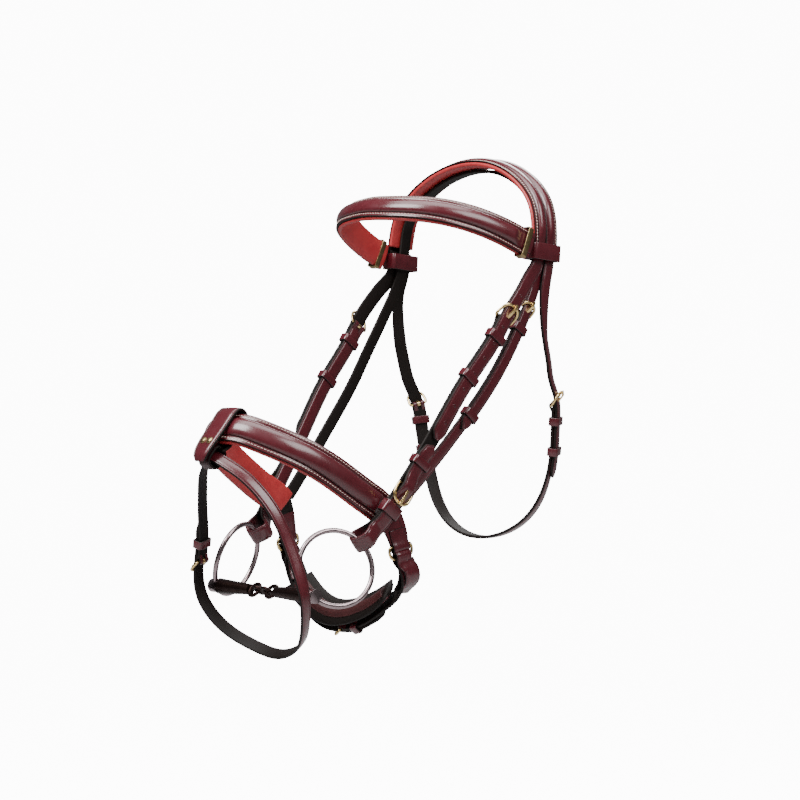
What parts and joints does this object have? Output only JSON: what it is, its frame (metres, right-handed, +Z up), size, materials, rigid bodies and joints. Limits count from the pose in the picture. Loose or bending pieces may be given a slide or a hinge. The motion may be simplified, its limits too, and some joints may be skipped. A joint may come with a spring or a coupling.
{
  "type": "snaffle bridle",
  "caption": "Snaffle bridle with padded browband, crank noseband, flash strap, throatlatch and a jointed loose-ring bit.",
  "frame": {"origin": "middle of the underside of the headpiece padding at the poll", "axes": "+X to the horse's left, -Y forward to the nose, +Z up"},
  "size_m": [0.234, 0.3678, 0.4832],
  "materials": {
    "leather": "glossy oxblood bridle leather",
    "padding": "soft red padding leather",
    "brass": "polished",
    "antique_brass": "antique, satin",
    "ring_steel": "polished stainless",
    "mouthpiece_steel": "dark sweet iron"
  },
  "bodies": {
    "bridle": {"bit_buckle_left": "brass", "bit_buckle_right": "brass", "browband": "leather", "browband_clips": "antique_brass", "browband_loops": "leather", "browband_padding": "padding", "cheek_billet_left": "leather", "cheek_billet_right": "leather", "cheek_buckle_left": "brass", "cheek_buckle_right": "brass", "cheek_keepers": "leather", "cheekpiece_left": "leather", "cheekpiece_right": "leather", "chin_buckle": "brass", "chin_keeper": "leather", "chin_pad": "padding", "chin_strap_left": "leather", "chin_strap_right": "leather", "flash_rivets": "antique_brass", "flash_tab": "leather", "headpiece": "leather", "headpiece_padding": "padding", "noseband": "leather", "noseband_hanger": "leather", "noseband_loops": "leather", "noseband_padding": "padding", "sliphead": "leather", "sliphead_buckle": "brass", "sliphead_keeper": "leather", "throat_billet_left": "leather", "throat_billet_right": "leather", "throat_buckle_left": "brass", "throat_buckle_right": "brass", "throat_keepers": "leather", "throatlatch": "leather"},
    "bit_ring_left": {"bit_ring_left": "ring_steel"},
    "bit_ring_right": {"bit_ring_right": "ring_steel"},
    "bit_cannon_left": {"bit_cannon_left": "mouthpiece_steel"},
    "bit_cannon_right": {"bit_cannon_right": "mouthpiece_steel"},
    "bit_link": {"bit_link": "mouthpiece_steel"},
    "cheek_tongue_left": {"cheek_tongue_left": "brass"},
    "bit_tongue_left": {"bit_tongue_left": "brass"},
    "throat_tongue_left": {"throat_tongue_left": "brass"},
    "cheek_tongue_right": {"cheek_tongue_right": "brass"},
    "bit_tongue_right": {"bit_tongue_right": "brass"},
    "throat_tongue_right": {"throat_tongue_right": "brass"},
    "sliphead_tongue": {"sliphead_tongue": "brass"},
    "chin_tongue": {"chin_tongue": "brass"},
    "flash_tongue": {"flash_tongue": "brass"},
    "cheek_slider_left": {"cheek_slider_left": "leather"},
    "throat_slider_left": {"throat_slider_left": "leather"},
    "cheek_slider_right": {"cheek_slider_right": "leather"},
    "throat_slider_right": {"throat_slider_right": "leather"},
    "sliphead_slider": {"sliphead_slider": "leather"},
    "chin_dee_left": {"chin_dee_left": "brass"},
    "chin_dee_right": {"chin_dee_right": "brass"},
    "flash_strap": {"flash_strap": "leather", "flash_buckle": "brass", "flash_keeper": "leather"}
  },
  "joints": [
    {"name": "ring_spin_left", "type": "hinge", "parent": "bridle", "child": "bit_ring_left", "pos_m": [0.0735, -0.25024, -0.38583], "axis": [0.8988, -0.3407, 0.2759], "continuous": true},
    {"name": "ring_spin_right", "type": "hinge", "parent": "bridle", "child": "bit_ring_right", "pos_m": [-0.0735, -0.25024, -0.38583], "axis": [0.8988, 0.3407, -0.2759], "continuous": true},
    {"name": "bit_swing_left", "type": "hinge", "parent": "bridle", "child": "bit_cannon_left", "pos_m": [0.0735, -0.25024, -0.38583], "axis": [0.8988, -0.3407, 0.2759], "range_deg": [-5, 5]},
    {"name": "bit_swing_right", "type": "hinge", "parent": "bridle", "child": "bit_cannon_right", "pos_m": [-0.0735, -0.25024, -0.38583], "axis": [0.8988, 0.3407, -0.2759], "range_deg": [-5, 5]},
    {"name": "bit_link_travel", "type": "slide", "parent": "bridle", "child": "bit_link", "axis": [0, 0.0234, -0.9997], "range_m": [-0.0044, 0.0044]},
    {"name": "cheek_tongue_left_play", "type": "hinge", "parent": "bridle", "child": "cheek_tongue_left", "pos_m": [0.10456, -0.0692, -0.15753], "axis": [0.0032, 0.8318, -0.555], "range_deg": [0, 8]},
    {"name": "bit_tongue_left_play", "type": "hinge", "parent": "bridle", "child": "bit_tongue_left", "pos_m": [0.09487, -0.18344, -0.31386], "axis": [-0.0064, -0.8078, 0.5894], "range_deg": [0, 8]},
    {"name": "throat_tongue_left_play", "type": "hinge", "parent": "bridle", "child": "throat_tongue_left", "pos_m": [0.09762, 0.00821, -0.23768], "axis": [-0.4584, 0.8476, 0.2671], "range_deg": [0, 8]},
    {"name": "cheek_tongue_right_play", "type": "hinge", "parent": "bridle", "child": "cheek_tongue_right", "pos_m": [-0.10456, -0.0692, -0.15753], "axis": [0.0032, -0.8318, 0.555], "range_deg": [0, 8]},
    {"name": "bit_tongue_right_play", "type": "hinge", "parent": "bridle", "child": "bit_tongue_right", "pos_m": [-0.09487, -0.18344, -0.31386], "axis": [-0.0064, 0.8078, -0.5894], "range_deg": [0, 8]},
    {"name": "throat_tongue_right_play", "type": "hinge", "parent": "bridle", "child": "throat_tongue_right", "pos_m": [-0.09762, 0.00821, -0.23768], "axis": [-0.4584, -0.8476, -0.2671], "range_deg": [0, 8]},
    {"name": "sliphead_tongue_play", "type": "hinge", "parent": "bridle", "child": "sliphead_tongue", "pos_m": [0.10027, -0.03833, -0.1516], "axis": [-0.006, 0.867, -0.4982], "range_deg": [0, 8]},
    {"name": "chin_tongue_play", "type": "hinge", "parent": "bridle", "child": "chin_tongue", "pos_m": [0.00792, -0.18358, -0.4433], "axis": [0.0286, -0.6298, -0.7763], "range_deg": [0, 8]},
    {"name": "flash_tongue_play", "type": "hinge", "parent": "flash_strap", "child": "flash_tongue", "pos_m": [-0.07018, -0.29326, -0.38528], "axis": [-0.1786, 0.9657, 0.1883], "range_deg": [0, 8]},
    {"name": "cheek_slider_left_travel", "type": "slide", "parent": "bridle", "child": "cheek_slider_left", "axis": [-0.0673, -0.6274, -0.7758], "range_m": [-0.008, 0.012]},
    {"name": "throat_slider_left_travel", "type": "slide", "parent": "bridle", "child": "throat_slider_left", "axis": [-0.1839, 0.0656, -0.9808], "range_m": [-0.004, 0.004]},
    {"name": "cheek_slider_right_travel", "type": "slide", "parent": "bridle", "child": "cheek_slider_right", "axis": [0.0673, -0.6274, -0.7758], "range_m": [-0.008, 0.012]},
    {"name": "throat_slider_right_travel", "type": "slide", "parent": "bridle", "child": "throat_slider_right", "axis": [0.1839, 0.0656, -0.9808], "range_m": [-0.004, 0.004]},
    {"name": "sliphead_slider_travel", "type": "slide", "parent": "bridle", "child": "sliphead_slider", "axis": [-0.094, -0.6486, -0.7553], "range_m": [-0.008, 0.004]},
    {"name": "chin_dee_left_play", "type": "hinge", "parent": "bridle", "child": "chin_dee_left", "pos_m": [0.08262, -0.18052, -0.3681], "axis": [-0.0426, -0.9814, -0.1871], "range_deg": [-4, 4]},
    {"name": "chin_dee_right_play", "type": "hinge", "parent": "bridle", "child": "chin_dee_right", "pos_m": [-0.08262, -0.18052, -0.3681], "axis": [-0.0426, 0.9814, 0.1871], "range_deg": [-4, 4]},
    {"name": "flash_swing", "type": "hinge", "parent": "bridle", "child": "flash_strap", "pos_m": [0, -0.33525, -0.28456], "axis": [1, 0, 0], "range_deg": [-6, 0]}
  ],
  "couplings": [
    {"joint": "bit_swing_right", "follows": "bit_swing_left", "ratio": 1},
    {"joint": "bit_link_travel", "follows": "bit_swing_left", "m_per_rad": 0.048011}
  ]
}
